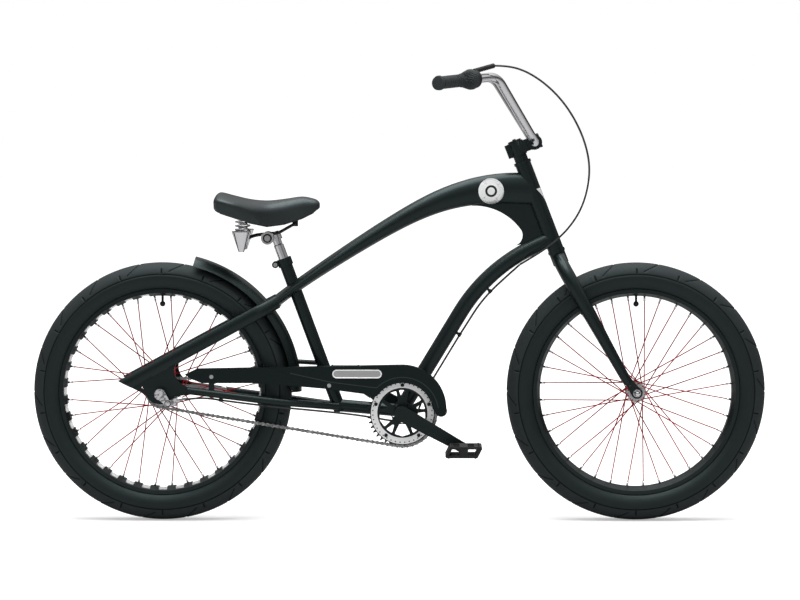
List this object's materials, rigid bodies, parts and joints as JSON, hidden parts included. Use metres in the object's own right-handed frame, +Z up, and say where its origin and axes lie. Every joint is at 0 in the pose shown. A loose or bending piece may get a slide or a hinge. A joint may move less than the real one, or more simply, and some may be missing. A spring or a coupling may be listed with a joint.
{
  "type": "beach cruiser bicycle",
  "caption": "Beach cruiser bicycle with a bowed top tube, balloon tyres, swept-back bar, sprung saddle, chain guard, coaster hub and twist shifter.",
  "frame": {"origin": "on the ground under the middle of the wheelbase", "axes": "+X forward, +Y to the rider's left, +Z up"},
  "size_m": [1.8464, 0.774, 1.1504],
  "materials": {
    "frame_paint": "satin",
    "black_parts": "satin",
    "rim_paint": "gloss",
    "strip_white": "matte",
    "spoke_red": "gloss",
    "tyre_black": "matte",
    "tube_rubber": "matte",
    "polished": "polished",
    "silver": "polished",
    "steel": "satin",
    "chain_steel": "satin",
    "cable_black": "satin",
    "grip_rubber": "matte",
    "housing_black": "matte",
    "saddle_vinyl": "satin"
  },
  "bodies": {
    "frame": {"head_tube": "frame_paint", "headset": "black_parts", "top_tube": "frame_paint", "down_tube": "frame_paint", "head_gusset": "frame_paint", "seat_tube": "frame_paint", "bottom_tube": "frame_paint", "bottom_bracket": "frame_paint", "rear_dropouts": "frame_paint", "seat_stays": "frame_paint", "chain_stays": "frame_paint", "seat_collar": "frame_paint", "rear_fender": "frame_paint", "chain_guard": "frame_paint", "frame_brackets": "frame_paint", "frame_bolts": "silver", "rear_axle_set": "steel", "bell_crank_housing": "silver", "coaster_brake_arm": "black_parts", "shift_cable_frame": "cable_black", "chain": "chain_steel"},
    "steering": {"fork_steerer": "frame_paint", "fork_blades": "frame_paint", "front_axle_set": "steel", "stem": "black_parts", "stem_faceplate": "black_parts", "stem_hardware": "black_parts", "handlebar": "polished", "grips": "grip_rubber", "shifter_housing": "housing_black", "shift_cable_loop": "cable_black"},
    "twist_shifter": {"twist_grip": "grip_rubber"},
    "bell_crank": {"bell_crank_lever": "silver"},
    "front_wheel": {"front_tyre": "tyre_black", "front_inner_tube": "tube_rubber", "front_rim": "rim_paint", "front_spokes": "spoke_red", "front_hub": "silver"},
    "rear_wheel": {"rear_tyre": "tyre_black", "rear_inner_tube": "tube_rubber", "rear_rim": "rim_paint", "rear_rim_strip": "strip_white", "rear_spokes": "spoke_red", "rear_hub": "silver"},
    "driver": {"rear_sprocket": "steel"},
    "crank": {"crank_spindle": "steel", "crank_arm_right": "black_parts", "crank_arm_left": "black_parts", "chainring": "black_parts", "chainring_plate": "silver", "crank_hardware": "black_parts"},
    "pedal_right": {"pedal_right": "housing_black"},
    "pedal_left": {"pedal_left": "housing_black"},
    "seat_post": {"seat_post": "polished", "saddle_clamp": "polished"},
    "saddle_frame": {"saddle_rails": "black_parts", "saddle_cones": "polished", "saddle_springs": "polished"},
    "saddle_top": {"saddle_pan": "housing_black", "saddle_cover": "saddle_vinyl"}
  },
  "joints": [
    {"name": "steering", "type": "hinge", "parent": "frame", "child": "steering", "pos_m": [0.35402, 0, 0.78954], "axis": [-0.36, 0, 0.933], "range_deg": [-60, 60], "deforming": ["shift_cable_loop"]},
    {"name": "front_wheel", "type": "hinge", "parent": "steering", "child": "front_wheel", "pos_m": [0.5972, 0, 0.326], "axis": [0, 1, 0], "continuous": true},
    {"name": "rear_wheel", "type": "hinge", "parent": "frame", "child": "rear_wheel", "pos_m": [-0.5972, 0, 0.326], "axis": [0, 1, 0], "continuous": true},
    {"name": "crank", "type": "hinge", "parent": "frame", "child": "crank", "pos_m": [0.00834, 0, 0.276], "axis": [0, 1, 0], "continuous": true, "deforming": ["chain"]},
    {"name": "sprocket", "type": "hinge", "parent": "frame", "child": "driver", "pos_m": [-0.5972, 0, 0.326], "axis": [0, 1, 0], "continuous": true},
    {"name": "pedal_right", "type": "hinge", "parent": "crank", "child": "pedal_right", "pos_m": [0.1611, 0, 0.19062], "axis": [0, 1, 0], "continuous": true},
    {"name": "pedal_left", "type": "hinge", "parent": "crank", "child": "pedal_left", "pos_m": [-0.14442, 0, 0.36138], "axis": [0, 1, 0], "continuous": true},
    {"name": "twist_shift", "type": "hinge", "parent": "steering", "child": "twist_shifter", "pos_m": [0.16387, -0.2939, 1.10973], "axis": [0.6312, 0.7724, 0.0706], "range_deg": [-32, 32]},
    {"name": "bell_crank", "type": "hinge", "parent": "frame", "child": "bell_crank", "pos_m": [-0.5782, 0, 0.303], "axis": [0, 1, 0], "range_deg": [-13, 13]},
    {"name": "seat_height", "type": "slide", "parent": "frame", "child": "seat_post", "axis": [-0.3469, 0, 0.9379], "range_m": [-0.03, 0.06]},
    {"name": "saddle_tilt", "type": "hinge", "parent": "seat_post", "child": "saddle_frame", "pos_m": [-0.33115, 0, 0.71343], "axis": [0, 1, 0], "range_deg": [-10, 10]},
    {"name": "saddle_bounce", "type": "hinge", "parent": "saddle_frame", "child": "saddle_top", "pos_m": [-0.262, 0, 0.74991], "axis": [0, -1, 0], "range_deg": [0, 4.5], "stiffness_Nm_per_rad": 1000, "springref_deg": -0.57, "deforming": ["saddle_springs"]}
  ],
  "couplings": [
    {"joint": "sprocket", "follows": "crank", "ratio": 2.3333},
    {"joint": "bell_crank", "follows": "twist_shift", "ratio": 0.4}
  ]
}
